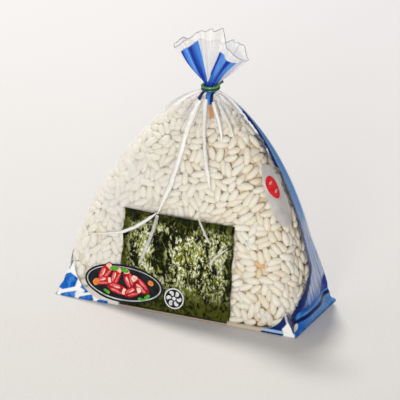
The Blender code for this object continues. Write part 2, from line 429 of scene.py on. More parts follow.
bottomShares = np.linspace(0, 1, 9)[:-1]
bodyHeights = np.concatenate([
    np.linspace(0, 14, 29) * mm,
    np.linspace(15.2, 82, 56) * mm,
    np.linspace(83 * mm, bagForm["neckHeight"] - bagForm["neckLength"] / 2, 26),
])
mouthRises = np.linspace(0, 1, 31)
base = bagSection(0)
baseMiddle = np.array([*middleOf(0), 0])
filmRings = [baseMiddle + (base - baseMiddle) * share for share in bottomShares]
filmRings += [bagSection(z) for z in bodyHeights]
filmRings += [mouthSection(rise) for rise in mouthRises]
# the map's second value: 0 to 0.1 under the bottom, 0.1 to 0.8 up the body, 0.8 to 1 up the mouth
filmMap = np.concatenate([
    0.1 * bottomShares,
    0.1 + 0.7 * bodyHeights / bagForm["neckHeight"],
    0.8 + 0.2 * mouthRises,
])
filmMesh = wrapGrid(filmRings, filmMap)
filmTree = BVHTree.FromBMesh(filmMesh)
print("film formed")


def onFilm(x, z, toward=(0, 1, 0)):  # the point of the film that a straight look from outside meets, and its normal
    toward = Vector(toward)
    start = Vector((x, 0, z)) - toward * 0.2 if toward.y else Vector((0, x, z)) - toward * 0.2
    place, normal, _, _ = filmTree.ray_cast(start, toward)
    if place is None:
        return None, None
    return place, -normal if normal.dot(toward) > 0 else normal


blue = {
    "deep": linear(0, 24, 92),
    "mid": linear(4, 100, 196),
    "light": linear(104, 166, 228),
    "milkySheen": linear(216, 226, 240),
    "white": linear(248, 248, 244),
    "round": 304.0,  # the bag's girth in millimetres, along which the lattice is drawn
    "cell": 8.4,
    "band": 0.22,
}


def hexBands(x, y, cell, band):
    # white bands along the edges of a honeycomb: the nearer of two offset cell middles, and how far its edge is
    tall = 3**0.5
    px, py = x / cell, y / cell
    ax, ay = px.wrap(1.0) - 0.5, py.wrap(tall) - tall / 2
    bx, by = (px - 0.5).wrap(1.0) - 0.5, (py - tall / 2).wrap(tall) - tall / 2
    nearA = (ax * ax + ay * ay).sum("LESS_THAN", bx * bx + by * by)
    gx = abs(ax * nearA + bx * (1.0 - nearA))
    gy = abs(ay * nearA + by * (1.0 - nearA))
    edge = gx.most(gx * 0.5 + gy * (tall / 2))
    return edge.over(0.5 - band / 2, 0.05)


def makeFilmFinish():
    finish = Finish("clear film", 0.25, Specular_IOR_Level=0.14)
    spot = finish.spot()
    x, y, z = finish.parts(spot)
    share, path, _ = finish.parts(finish.node("ShaderNodeUVMap", {"uv_map": "wrap"}))
    fromFront = 0.5 - abs(share - 0.5)  # 0 at the front's middle, 0.5 at the back's
    side = (fromFront - frontRight) / (backRight - frontRight)  # 0 to 1 from the front corner to the back one
    rough = finish.noise(spot, 3.2)
    streak = finish.noise(finish.vector(share * 190.0, z * 0.06), 1.0, 2.0)
    onBody = path.over(0.099, 0.001) * path.under(0.79, 0.004)
    onMouth = path.over(0.8, 0.002)
    onFront = side.under(0.0, 0.01)
    onBack = side.over(1.0, 0.01)
    onSide = (1.0 - onFront) * (1.0 - onBack)
    toRight = x.over(0.0, 0.1)

    # blue ink past the rice's rounded ends on the front
    leftPast, leftLow = (-33.0 - x - (z - 16.0).most(0.0) * 0.22).most(0.0), (16.0 - z).most(0.0)
    leftEnd = ((leftPast * leftPast + leftLow * leftLow) ** 0.5).over(14.9, 0.3) * x.under(-31.0, 0.3)
    rightPast, rightLow = (x - 39.5).most(0.0), (11.0 - z).most(0.0)
    rightEnd = ((rightPast * rightPast + rightLow * rightLow) ** 0.5).over(9.4, 0.3) * x.over(39.0, 0.5)
    frontInk = leftEnd.most(rightEnd * z.under(9.0, 0.6) * (x - 38.6 - z * 1.1).over(0.0, 0.5)) * onFront * z.under(27.0, 0.6)
    # and on the sides, under a slope and up along the back corner; inkIn grows from the ink's inner edge
    sideStart = 0.62 + 0.03 * ((z - 32.0) / 16.0).least(1.0).most(0.0) - 0.10 * z.over(64.0, 5.0)
    inkIn = (side - sideStart).most((5.4 + side * 24.8 - z) / 24.8) + (rough - 0.5) * 0.14
    clearEdge = side.under(0.97 + 0.05 * ((30.0 - z) / 16.0).least(1.0).most(0.0), 0.03)
    sideInk = inkIn.over(0.0, 0.02) * clearEdge * z.under(90.0, 4.0) * onSide * toRight.most(z.under(58.0, 2.0))
    backInk = onBack * side.over(1.04, 0.02).most(z.under(16.0, 6.0)) * z.under(60.0, 1.0)
    bottomInk = path.under(0.1, 0.0005) * (x.over(47.0, 0.5)).most(x.under(-44.0, 0.5))
    ink = frontInk.most(sideInk).most(backInk) * onBody

    # its colours: painted shade along the inner edge, milky where the film stands off, with vertical streaks painted
    # as reflections, a pale hem under a fold painted with a dark line of shade and a highlight above it
    patches = finish.noise(spot, 5.0, 3.0, 0.6, 0.6)
    colour = finish.mix(blue["mid"], blue["deep"], patches.over(0.56, 0.12) * 0.6)
    colour = finish.mix(colour, blue["light"], patches.under(0.44, 0.1) * 0.5)
    # milky pale blue where the film stands off, in vertical streaks painted as reflections of the film
    milkySheen = inkIn.over(0.10, 0.08) * z.over(10.0, 5.0) * z.under(44.0, 14.0) * ((streak - 0.5) * 2.6 + 0.8).least(1.0).most(0.0)
    colour = finish.mix(colour, blue["milkySheen"], milkySheen * onSide * 0.9)
    backCorner = side.over(0.84, 0.06) * z.over(5.0, 1.0) * (9.0 + (side - 0.85) * 26.0 - z).over(0.0, 1.5)
    colour = finish.mix(colour, linear(0, 44, 156), backCorner * onSide)
    paler = inkIn.over(0.12, 0.06) * z.over(38.0, 8.0) * onSide
    colour = finish.mix(colour, blue["light"], paler * 0.9)
    # painted shade: deep navy along the ink's inner edge by the rice, wider low down and near the top
    inkEdgeShade = inkIn.under(0.05 + 0.12 * z.under(16.0, 10.0) + 0.09 * z.over(62.0, 5.0), 0.06) * onSide
    colour = finish.mix(colour, blue["deep"], inkEdgeShade * 0.95)
    hemLine = 3.3 + side * 0.4
    hemBand = (hemLine - z).over(0.0, 0.4) * z.over(0.7, 0.6) * onSide
    # the fold over the hem: a dark line painted as shade in it, and a light streak above it painted as a highlight
    foldShading = (z - hemLine).over(0.0, 0.4) * (hemLine + 1.3 - z).over(0.0, 0.4) * onSide
    hemTone = (side.over(0.3, 0.3) * 0.85 + (streak - 0.5) * 1.2).least(1.0).most(0.0)
    foldHighlight = (z - hemLine).over(1.5, 0.3) * (hemLine + 2.2 - z).over(0.0, 0.5) * side.over(0.24, 0.2) * onSide
    colour = finish.mix(colour, blue["light"], foldHighlight * 0.75)
    colour = finish.mix(colour, finish.mix(blue["mid"], blue["light"], hemTone), hemBand)
    colour = finish.mix(colour, linear(0, 14, 62), foldShading * 0.95)
    colour = finish.mix(colour, linear(0, 20, 84), onFront * toRight * 0.92)
    colour = finish.mix(colour, linear(168, 204, 240), z.under(1.7, 0.4) * z.over(0.7, 0.3) * onFront * toRight * 0.85)

    # white bands in the print, and a painted highlight (the glint) low on the right side near the front corner
    lattice = hexBands(share * blue["round"] - 258.8, z - 6.1, blue["cell"], blue["band"])
    leftOrBack = (1.0 - toRight).most(onBack)
    fromCorner = abs(fromFront - frontRight + 0.004 + (5.0 - z).most(0.0) * 0.0013)
    cornerBand = fromCorner.under(0.0013 + (5.0 - z).most(0.0) * 0.0015, 0.0015) * toRight * z.under(14.0, 3.0) * (0.55 + 0.45 * z.under(5.5, 1.5))
    glint = (abs((side - 0.085 - (z - 2.6) * 0.03) / 0.062) ** 2.0 + abs((z - 2.6) / 1.0) ** 2.0).under(1.0, 0.5) * toRight
    white = (lattice * leftOrBack).most(cornerBand).most(glint)
    colour = finish.mix(colour, blue["white"], white)

    # the two blue bands that run up the gathered mouth, and their ends under the tie
    fromNeck, up = x - bagForm["neckShift"][0] / mm, z - bagForm["neckHeight"] / mm
    leftIn = fromNeck + 2.45 + up * 0.85 - up * up * 0.012
    leftOut = 0.25 - up * 0.13 - up * up * 0.0035 - fromNeck
    leftBand = leftIn.over(0.0, 0.4) * leftOut.over(0.0, 0.4) * (14.9 + (fromNeck + 12.4) * 0.8 - up).over(0.0, 0.5)
    rightIn = fromNeck + 1.4 - up * 0.405 + up * up * 0.0025
    rightOut = 2.6 + up * 0.45 + up * up * 0.022 - fromNeck
    rightBand = rightIn.over(0.0, 0.3) * rightOut.over(0.0, 0.4) * (17.4 - (fromNeck - 5.0) * 0.52 - up).over(0.0, 0.5)
    bands = leftBand.most(rightBand) * up.over(0.5, 0.5)
    leftStub = (fromNeck + 2.7 - (up + 1.0) * 0.46).over(0.0, 0.3) * (-1.4 + (up + 1.0) * 0.26 - fromNeck).over(0.0, 0.3) * up.over(-5.0, 0.4)
    stubIn, stubOut = fromNeck + 0.9 + (up + 1.0) * 0.25, 2.35 - (up + 1.0) * 0.2 - fromNeck
    rightStub = stubIn.over(0.0, 0.3) * stubOut.over(0.0, 0.3) * up.over(-5.7, 0.4)
    tuft = bands.most(leftStub.most(rightStub) * up.under(0.5, 0.5)) * fromFront.under(0.25, 0.01)
    # each band is painted with the light and shade of its folds: a dark line at its outer edge, a lit fold, a shaded
    # fold, a lit fold
    pleatShade = finish.noise(finish.vector(share * 46.0, path * 2.0), 1.0, 2.0)
    leftShare = leftIn / (leftIn + leftOut).most(0.1)
    rightShare = rightIn / (rightIn + rightOut).most(0.1)
    onLeft = fromNeck.under(0.3, 0.2) * up.over(0.0, 0.5)
    across = leftShare * onLeft + rightShare * (1.0 - onLeft)
    shadedFoldPlace = 0.60 + 0.03 * onLeft
    bandFoldShading = across.under(0.09, 0.06).most(abs(across - shadedFoldPlace).under(0.11, 0.09)) + (pleatShade - 0.5) * 1.6
    tuftColour = finish.mix(linear(70, 140, 226), linear(0, 40, 148), bandFoldShading.least(1.0).most(0.0))
    # a painted highlight along the lit fold
    tuftColour = finish.mix(tuftColour, linear(150, 200, 252), abs(across - 0.30).under(0.10, 0.16) * (0.52 - pleatShade + 0.3).most(0.0) * up.over(5.0, 5.0) * 1.2)
    tuftColour = finish.mix(tuftColour, linear(0, 50, 166), up.under(6.0, 7.0) * 0.72)
    # the stubs under the tie: deep navy, with a light strip painted on the right one as a highlight
    stubColour = finish.mix(linear(0, 26, 96), linear(60, 140, 226), (stubIn - 0.3).over(0.0, 0.4) * (1.9 - stubIn).over(0.0, 0.4))
    tuftColour = finish.mix(tuftColour, stubColour, up.under(0.0, 0.5))
    colour = finish.mix(colour, tuftColour, tuft)
    printed = ink.most(bottomInk).most(tuft).most(cornerBand)

    # the clear film: hardly any haze over the rice, white folds near the neck, a white gathered mouth
    veil = finish.noise(spot, 16.0, 2.0)
    overNori = (abs(x - noriShift / mm).under(noriHigh.x / mm + 0.4, 0.4)) * z.under(noriHigh.z / mm - 1.4, 0.4)
    haze = (0.012 + 0.40 * x.under(-6.0, 50.0) * veil.over(0.46, 0.3) * (1.0 - onMouth) * z.over(6.0, 4.0)) * (1.0 - overNori)
    # the film lies folded along the bottom edge: cream on the lit left, tan on the right as painted shade
    foldLeft = z.under(4.6, 2.6) * x.under(-26.0, 1.0)
    foldRight = z.under(1.6, 1.0) * x.over(23.6, 0.4)
    foldMiddle = z.under(0.6, 0.3)
    fold = foldLeft.most(foldRight).most(foldMiddle) * onFront * onBody
    haze = haze.most(fold * 0.85)
    # grey where the film is seen edge-on at the front: a painted reflection
    grazing = finish.node("ShaderNodeLayerWeight", sockets={"Blend": 0.5}, out="Facing").over(0.72, 0.22) * onBody * onFront
    neckStripe = finish.noise(finish.vector(share * 34.0, z * 0.01), 1.0, 1.0)
    haze = haze + 0.7 * neckStripe.over(0.52, 0.1) * z.over(85.0, 12.0) * onBody
    # grey stripes between the white folds near the neck: painted shade
    greyPleatShade = finish.noise(finish.vector(share * 30.0 + 9.0, z * 0.01), 1.0, 1.0).over(0.54, 0.06) * z.over(84.0, 10.0) * onBody
    haze = haze.most(greyPleatShade * 0.6)
    haze = haze.most(onMouth * (0.42 + 0.2 * pleatShade.over(0.5, 0.3)))
    clearColour = finish.mix(linear(250, 249, 246), linear(186, 186, 196), onMouth * pleatShade.over(0.60, 0.06) * 0.5)
    clearColour = finish.mix(clearColour, linear(172, 168, 176), greyPleatShade * 0.8)
    clearColour = finish.mix(clearColour, linear(140, 138, 134), grazing)
    clearColour = finish.mix(clearColour, linear(190, 164, 136), foldMiddle * onFront * onBody)
    clearColour = finish.mix(clearColour, finish.mix(linear(232, 228, 216), linear(208, 190, 160), toRight), foldLeft.most(foldRight) * onFront * onBody)
    # painted shade: a pale violet fold beside the right band, and a tan fold under the tie for the shaded rice below
    violetShade = (-rightOut).over(0.1, 0.3) * (2.0 + rightOut).over(0.0, 0.5) * onMouth * (15.5 - up).over(0.0, 2.0) * fromFront.under(0.25, 0.01)
    clearColour = finish.mix(clearColour, linear(176, 174, 206), violetShade * 0.8)
    tanIn = fromNeck - 1.5 + (up + 6.0) * 0.25
    tanShade = tanIn.over(0.0, 0.3) * (1.9 - tanIn).over(0.0, 0.3) * up.under(-5.9, 0.3) * up.over(-11.0, 0.5) * fromFront.under(0.25, 0.01)
    clearColour = finish.mix(clearColour, linear(212, 152, 106), tanShade)
    haze = haze.most(violetShade * 0.6).most(tanShade * 0.85)
    colour = finish.mix(clearColour, colour, printed)
    alpha = haze.most(printed * 0.98).most(grazing * 0.7)
    crinkle = finish.noise(spot, 6.0, 3.0, 0.5, 0.4)
    normal = finish.bump(crinkle, 0.2, 0.6 * mm)
    finish.material.surface_render_method = "BLENDED"
    return finish.feed(Base_Color=colour, Alpha=alpha, Normal=normal)


filmPiece = pieceOf("bagFilm", filmMesh, makeFilmFinish(), "bag")
print("film finished")



def riceRings(inset, count=70):
    low = max(inset, 0.4 * mm)
    heights = np.concatenate([np.linspace(low, 18 * mm, 14), np.linspace(20 * mm, riceForm["top"] - inset - 0.01 * mm, count)])
    return [riceSection(z, inset) for z in heights]


def makeCore():
    rings = riceRings(3.3 * mm, 50)
    first, last = np.array(rings[0]), np.array(rings[-1])
    bottom = [first.mean(0) + (first - first.mean(0)) * share for share in (0, 0.5)]
    top = [last.mean(0) + (last - last.mean(0)) * share for share in (0.5, 0)]
    rings = bottom + rings + top
    bm = wrapGrid(rings, np.linspace(0, 1, len(rings)))
    for vert in bm.verts:
        vert.co = keptInside(vert.co, 1.6 * mm)
    finish = Finish("rice inside", 0.7)
    spot = finish.spot()
    lumps = finish.node("ShaderNodeTexVoronoi", {"feature": "F1"}, {"Vector": spot, "Scale": 0.34}, out="Distance")
    x, y, z = finish.parts(finish.spot())
    shade = finish.mix(linear(236, 229, 212), linear(224, 208, 180), (x / 55.0 + 0.35).least(1.0).most(0.0) + (lumps - 0.5))
    # orange-tan spots towards the right
    orangeSpots = finish.noise(spot, 3.6, 2.0).over(0.63, 0.04) * (x + 20.0 + z * 0.2).over(0.0, 10.0)
    shade = finish.mix(shade, linear(216, 160, 100), orangeSpots * 0.6)
    return pieceOf("riceCore", bm, finish.feed(Base_Color=shade, Normal=finish.bump(1.0 - lumps, 0.8, 1.2 * mm)))


def makeGrainFinish():
    finish = Finish("cooked rice", 0.45, Subsurface_Weight=0.25, Subsurface_Scale=0.0015, Specular_IOR_Level=0.3)
    finish.shader.inputs["Subsurface Radius"].default_value = (1.0, 0.78, 0.55)
    spot = finish.spot()
    x, y, z = finish.parts(spot)
    deep = finish.attribute("deep")  # 0 for the outer grains, 1 for those inside
    tone = finish.attribute("tone")  # random, 0 to 1 for each grain
    crown = finish.attribute("crown")  # -1 to 1 from a grain's underside to its top
    mottle = finish.noise(spot, 1.3, 2.0)
    # painted light and shade: grains paler and flatter on the lit left, warmer and more shaded towards the right
    toRight = ((x + 8.0 + z * 0.25) / 60.0).least(1.0).most(0.0)  # paler and flatter on the left
    shadedSide = (y / 30.0 + 0.5).least(1.0).most(0.0) * toRight
    cream = finish.mix(linear(238, 234, 222), linear(234, 226, 204), tone * (0.35 + 0.6 * toRight))
    cream = finish.mix(cream, linear(243, 240, 231), mottle.over(0.55, 0.3) * 0.5)
    # painted shade: each grain's underside darker and warmer, more so towards the right
    rim = crown.under(0.0, 1.0)
    warm = finish.mix(linear(233, 226, 208), linear(222, 202, 168), toRight)
    colour = finish.mix(cream, warm, rim * (0.4 + 0.4 * toRight))
    # painted shade: the inner grains, seen in the gaps, tan
    tan = finish.mix(linear(235, 227, 208), linear(224, 204, 168), (toRight * 0.9 + tone * 0.25).least(1.0))
    colour = finish.mix(colour, tan, deep)
    # a few inner grains orange-tan, towards the right
    orangeSpots = tone.over(0.955, 0.01) * deep.over(0.7, 0.05) * toRight.over(0.2, 0.2)
    colour = finish.mix(colour, linear(218, 164, 106), orangeSpots * 0.7)
    # painted shade: grains darker towards the back on the right
    colour = finish.mix(colour, linear(218, 200, 174), shadedSide * 0.3)
    return finish.feed(Base_Color=colour)


def ballsOf(spots, axes, sizes):  # three balls along each grain stand for it while the grains are packed
    reach = (riceForm["length"] - riceForm["width"]) / 2
    along = np.array([-1.0, 0.0, 1.0])
    return spots[:, None, :] + (along[None, :, None] * reach * sizes[:, None, None]) * axes[:, None, :]


def settleGrains(spots, axes, normals, sizes, tree):
    # pushes overlapping grains apart along the surface until they lie side by side
    along = np.array([-1.0, 0.0, 1.0])
    clear = riceForm["width"] * riceForm["crowding"]
    for step in range(riceForm["settling"]):
        if step % 6 == 0:
            apart = np.linalg.norm(spots[:, None, :] - spots[None, :, :], axis=2)
            first, second = np.nonzero(np.triu(apart < 8.5 * mm, 1))
        balls = ballsOf(spots, axes, sizes)
        between = balls[first][:, :, None, :] - balls[second][:, None, :, :]
        distance = np.maximum(np.linalg.norm(between, axis=3, keepdims=True), 1e-7)
        push = between / distance * np.maximum(clear - distance, 0) / 2
        move, spin = np.zeros_like(spots), np.zeros_like(spots)
        for which, force in ((first, push.sum(axis=2)), (second, -push.sum(axis=1))):
            np.add.at(move, which, force.sum(axis=1))
            np.add.at(spin, which, (along[None, :, None] * force).sum(axis=1))
        for change in (move, spin):
            change -= (change * normals).sum(axis=1, keepdims=True) * normals
        spots = spots + np.clip(0.45 * move, -0.8 * mm, 0.8 * mm)
        axes = axes + np.clip(0.5 * spin / riceForm["length"] * 2, -0.2, 0.2)
        for i, spot in enumerate(spots):
            place, normal, _, _ = tree.find_nearest(Vector(spot))
            spots[i], normals[i] = place, normal
        axes -= (axes * normals).sum(axis=1, keepdims=True) * normals
        axes /= np.linalg.norm(axes, axis=1, keepdims=True)
    return spots, axes, normals


def makeGrains():
    rng = np.random.default_rng(18)
    inset = riceForm["gap"] + riceForm["thickness"] / 2
    rings = np.array(riceRings(inset, 110))
    a, b = rings[:-1], np.roll(rings[:-1], -1, axis=1)
    c, d = np.roll(rings[1:], -1, axis=1), rings[1:]
    facing = np.cross(b - a, d - a) + np.cross(c - b, d - b)
    areas = np.linalg.norm(facing, axis=2) / 2
    facing = facing / np.maximum(np.linalg.norm(facing, axis=2, keepdims=True), 1e-12)
    weights = areas.ravel() / areas.sum()
    shell = wrapGrid(rings, np.linspace(0, 1, len(rings)))
    tree = BVHTree.FromBMesh(shell)
    shell.free()

    def scatter(count):
        rows, spans = np.divmod(rng.choice(len(weights), count, p=weights), columns)
        s, t = rng.random((2, count, 1))
        low = (1 - s) * a[rows, spans] + s * b[rows, spans]
        high = (1 - s) * d[rows, spans] + s * c[rows, spans]
        normals = facing[rows, spans]
        level = np.cross(normals, (0, 0, 1.0))
        level /= np.maximum(np.linalg.norm(level, axis=1, keepdims=True), 1e-9)
        turnBy = rng.random((count, 1)) * math.pi
        axes = np.cos(turnBy) * level + np.sin(turnBy) * np.cross(normals, level)
        return (1 - t) * low + t * high, axes, normals, 0.74 + 0.38 * rng.random(count)

    length, width = riceForm["length"], riceForm["width"]
    oneGrain = (length - width) * width + math.pi * width**2 / 4
    spots, axes, normals, sizes = scatter(int(riceForm["cover"] * areas.sum() / oneGrain))
    spots, axes, normals = settleGrains(spots, axes, normals, sizes, tree)
    outer = len(spots)

    # a second layer fills what gaps are left, deeper in
    drop, closeness = 1.6 * mm, 0.56
    spots2, axes2, normals2, sizes2 = scatter(9000)
    spots2 = spots2 - normals2 * drop
    taken = ballsOf(spots, axes, sizes).reshape(-1, 3)
    cell = 4 * mm
    buckets = {}
    for ball in taken:
        buckets.setdefault(tuple((ball // cell).astype(int)), []).append(ball)
    kept = []
    for i, balls in enumerate(ballsOf(spots2, axes2, sizes2)):
        near = []
        for ball in balls:
            key = (ball // cell).astype(int)
            for dx in (-1, 0, 1):
                for dy in (-1, 0, 1):
                    for dz in (-1, 0, 1):
                        near += buckets.get((key[0] + dx, key[1] + dy, key[2] + dz), ())
        if near and np.linalg.norm(np.array(near)[:, None, :] - balls[None, :, :], axis=2).min() < width * closeness:
            continue
        for ball in balls:
            buckets.setdefault(tuple((ball // cell).astype(int)), []).append(ball)
        kept.append(i)
    print(f"{outer} outer grains and {len(kept)} inner ones")

    placedGrains = []
    for layer, (where, along, outward, scale) in enumerate((
        (spots, axes, normals, sizes),
        (spots2[kept], axes2[kept], normals2[kept], sizes2[kept]),
    )):
        for spot, axis, normal, size in zip(where, along, outward, scale):
            hidden = abs(spot[0] - noriShift) < noriHigh.x - 4 * mm and spot[2] < noriHigh.z - 4 * mm and abs(normal[1]) > 0.6
            underNori = abs(spot[0] - noriShift) < noriHigh.x + 0.8 * mm and spot[2] < noriHigh.z + 0.8 * mm and abs(normal[1]) > 0.6
            tilt, sink = rng.normal(0, 0.15), rng.random()
            if hidden:
                continue
            spot = spot - normal * (sink * (0.9 if layer == 0 else 0.2) * mm + (1.3 * mm if underNori else 0))
            axis = axis + normal * tilt
            axis /= np.linalg.norm(axis)
            # the middle and both ends stay inside the film
            for _ in range(3):
                ends = [keptInside(spot + hand * axis * size * length * 0.42, riceForm["thickness"] * 0.36 + riceForm["clear"]) for hand in (-1, 1)]
                middle = keptInside(spot, riceForm["thickness"] / 2 + riceForm["clear"])
                spot = middle if np.linalg.norm(middle - spot) > 0 else (ends[0] + ends[1]) / 2
                axis = (ends[1] - ends[0]) / np.linalg.norm(ends[1] - ends[0])
            lowest = 0.2 * mm + size * (abs(axis[2]) * (length - width) / 2 + width / 2)
            spot[2] = max(spot[2], lowest)
            placedGrains.append((spot, axis, normal, size, layer, sink))

    # three slightly different grains to copy
    variants = []
    for bend, taper in ((0.16, 0.10), (-0.10, 0.20), (0.30, -0.06), (0.0, 0.14)):
        bm = bmesh.new()
        bmesh.ops.create_uvsphere(bm, u_segments=9, v_segments=6, radius=1)
        bmesh.ops.rotate(bm, verts=bm.verts, matrix=Matrix.Rotation(math.pi / 2, 3, "Y"))
        for vert in bm.verts:
            x = vert.co.x
            fuller = max(math.hypot(vert.co.y, vert.co.z), 1e-6) ** -0.14  # slightly blunter ends than an egg's
            vert.co.y = vert.co.y * fuller * (1 + taper * x) + bend * (1 - x**2)
            vert.co.z = vert.co.z * fuller * (1 + taper * x)
        bm.verts.index_update()
        corners3 = np.array([vert.co[:] for vert in bm.verts])
        faces = [[vert.index for vert in face.verts] for face in bm.faces]
        variants.append((corners3, faces))
        bm.free()

    points, polygons, deep, tone, crown = [], [], [], [], []
    offset = 0
    for spot, axis, normal, size, layer, sink in placedGrains:
        shape, faces = variants[rng.integers(len(variants))]
        side = np.cross(normal, axis)
        side = side / np.linalg.norm(side)
        up = np.cross(axis, side)
        half = np.array([riceForm["length"], riceForm["width"] * (0.92 + 0.16 * rng.random()), riceForm["thickness"]]) / 2
        half[0] *= size
        corners = spot + (shape * half) @ np.array([axis, side, up])
        if abs(spot[1]) < riceForm["edgeDepth"] and abs(spot[0]) < riceForm["edgeReach"]:
            points.append(corners)
        else:  # only the grains near the bag's edges can poke through, so only they are pushed in corner by corner
            points.append(np.array([keptInside(corner, 0.15 * mm) for corner in corners]))
        polygons += [[offset + corner for corner in face] for face in faces]
        offset += len(shape)
        deep += [0.35 * sink if layer == 0 else 0.75 + 0.25 * rng.random()] * len(shape)
        tone += [rng.random()] * len(shape)
        crown += list(shape[:, 2])
    mesh = bpy.data.meshes.new("riceGrains")
    mesh.from_pydata(np.concatenate(points), [], polygons)
    for name, values in (("deep", deep), ("tone", tone), ("crown", crown)):
        mesh.attributes.new(name, "FLOAT", "POINT").data.foreach_set("value", np.array(values, dtype=float))
    return placed("riceGrains", mesh, makeGrainFinish())


makeCore()
makeGrains()
print("rice made")



noriForm = {"inset": 0.5 * mm, "top": noriHigh.z - 1.6 * mm, "thickness": 0.35 * mm, "crinkle": 0.28 * mm, "across": 90, "rows": 190}


def makeNoriFinish():
    finish = Finish("nori", 0.7, Specular_IOR_Level=0.06)
    spot = finish.spot()
    x, y, z = finish.parts(spot)
    drawn = finish.node("ShaderNodeMapping", sockets={"Vector": spot, "Scale": (1.0, 1.0, 0.7), "Rotation": (0, 0.25, 0)})
    broad = finish.noise(drawn, 8.0, 4.0, 0.6, 0.8)
    flecks = finish.noise(drawn, 3.2, 4.0, 0.65, 1.8)
    specks = finish.noise(drawn, 0.9, 3.0, 0.65)
    edge = (1.0 - (abs(x) / 24.5) ** 5.0).most(0.0)
    inner = edge * z.over(13.0, 12.0) * z.under(37.5, 6.0)
    colour = finish.mix(linear(12, 16, 5), linear(46, 52, 18), (flecks * 0.5 + specks * 0.5).over(0.52, 0.16))
    olive = (broad * 0.45 + flecks * 0.55).over(0.505, 0.07) * (0.2 + 0.8 * inner)
    colour = finish.mix(colour, linear(140, 146, 44), olive * 0.9)
    # grey-green and near-white patches in the middle of the sheet: painted reflections of the film over it
    sage = (flecks * 0.6 + specks * 0.4).over(0.52, 0.05) * broad.over(0.44, 0.10) * inner
    colour = finish.mix(colour, linear(188, 192, 150), sage * 0.8)
    pale = (flecks * 0.35 + specks * 0.65).over(0.555, 0.04) * broad.over(0.46, 0.08) * inner
    colour = finish.mix(colour, linear(242, 242, 226), pale * 0.95)
    relief = finish.bump(flecks + broad, 0.6, 0.5 * mm)
    return finish.feed(Base_Color=colour, Normal=relief)


def makeNori():
    form = noriForm
    bm = bmesh.new()
    bmesh.ops.create_grid(bm, x_segments=form["across"], y_segments=form["rows"], size=0.5)
    rng = np.random.default_rng(5)
    phases = rng.random((6, 3)) * 7
    half, top = noriHigh.x, form["top"]
    under = 1.3 * mm  # the height of the turn under the bottom

    def crinkle(x, s):
        waves = sum(math.sin(x / mm * (0.5 + 0.35 * i) + s * (0.6 + 0.3 * i) * 10 + phase[0]) * math.sin(s * 9 * (1 + 0.6 * i) + phase[1]) / (1 + i) for i, phase in enumerate(phases))
        return form["crinkle"] * waves / 2

    for vert in bm.verts:
        u, v = vert.co.x + 0.5, vert.co.y + 0.5  # v runs from the top of the front, under, to the top of the back
        edge = 0.25 * mm * math.sin(v * 60 + 2 * u) if u in (0, 1) else 0
        x = noriShift - half + 2 * half * u + edge
        rise = top - under + 0.2 * mm * math.sin(u * 23)
        upLength, flat = rise, 2 * (bagForm["halfDepth"] - under)
        run = v * (2 * upLength + flat)
        if run < upLength or run > upLength + flat:
            frontSide = run < upLength
            z = top - run if frontSide else under + (run - upLength - flat)
            toward = (0, 1, 0) if frontSide else (0, -1, 0)
            place, normal = onFilm(x, max(z, under), toward)
            vert.co = place - normal * (form["inset"] + abs(crinkle(x, run * 20)) + 0.05 * mm)
        else:
            share = (run - upLength) / flat
            front, _ = onFilm(x, under)
            back, _ = onFilm(x, under, (0, -1, 0))
            y = front.y + form["inset"] + 0.8 * mm + (back.y - front.y - 2 * form["inset"] - 1.6 * mm) * share
            vert.co = (x, y, 0.55 * mm)
    bmesh.ops.recalc_face_normals(bm, faces=bm.faces)
    nori = pieceOf("noriSheet", bm, makeNoriFinish(), "nori")
    thick = nori.modifiers.new("thickness", "SOLIDIFY")
    thick.thickness = form["thickness"]
    thick.offset = -1
    return nori


makeNori()
print("nori laid")



def rounded(points, times=2):  # cuts an outline's corners
    for _ in range(times):
        cut = []
        for here, there in zip(points, points[1:] + points[:1]):
            cut.append((0.8 * here[0] + 0.2 * there[0], 0.8 * here[1] + 0.2 * there[1]))
            cut.append((0.2 * here[0] + 0.8 * there[0], 0.2 * here[1] + 0.8 * there[1]))
        points = cut
    return points


def ellipse(x, z, a, b, tilt=0.0, count=48):
    turns = [2 * math.pi * i / count for i in range(count)]
    return [
        (x + a * math.cos(t) * math.cos(tilt) - b * math.sin(t) * math.sin(tilt),
         z + a * math.cos(t) * math.sin(tilt) + b * math.sin(t) * math.cos(tilt))
        for t in turns
    ]


def printShapes(name, shapes, materials, toward=(0, 1, 0), step=1.4):
    # shapes: (outline in millimetres, how far it lies above the film, material number)
    bm = bmesh.new()
    for outline, lift, number in shapes:
        verts = [bm.verts.new((x, lift, z)) for x, z in outline]
        face = bm.faces.new(verts)
        face.material_index = number
    bmesh.ops.triangulate(bm, faces=bm.faces)
    xs = [v.co.x for v in bm.verts]
    zs = [v.co.z for v in bm.verts]
    for axis, low, high in ((0, min(xs), max(xs)), (2, min(zs), max(zs))):
        cut = low + step
        while cut < high:
            place, normal = Vector((0, 0, 0)), Vector((0, 0, 0))
            place[axis], normal[axis] = cut, 1
            bmesh.ops.bisect_plane(bm, geom=bm.verts[:] + bm.edges[:] + bm.faces[:], plane_co=place, plane_no=normal)
            cut += step
    for vert in bm.verts:
        flat = vert.co.copy()
        place, normal = onFilm(flat.x * mm, flat.z * mm, toward)
        if place is None:
            raise ValueError(f"{name} runs off the film at {flat.x:.1f}, {flat.z:.1f}")
        vert.co = place + normal * (flat.y * mm)
    bmesh.ops.remove_doubles(bm, verts=bm.verts, dist=0.002 * mm)
    outward = Vector(toward) * -1
    for face in bm.faces:
        face.normal_update()
        if face.normal.dot(outward) < 0:
            face.normal_flip()
    return pieceOf(name, bm, materials)


def printInk(name, colour, other=None, size=1.2, roughness=0.32):
    finish = Finish(name, roughness, Specular_IOR_Level=0.15)
    other = other or tuple(0.72 * channel for channel in colour[:3]) + (1,)
    patch = finish.noise(finish.spot(), size, 3.0, 0.6)
    return finish.feed(Base_Color=finish.mix(colour, other, patch.over(0.5, 0.25)))


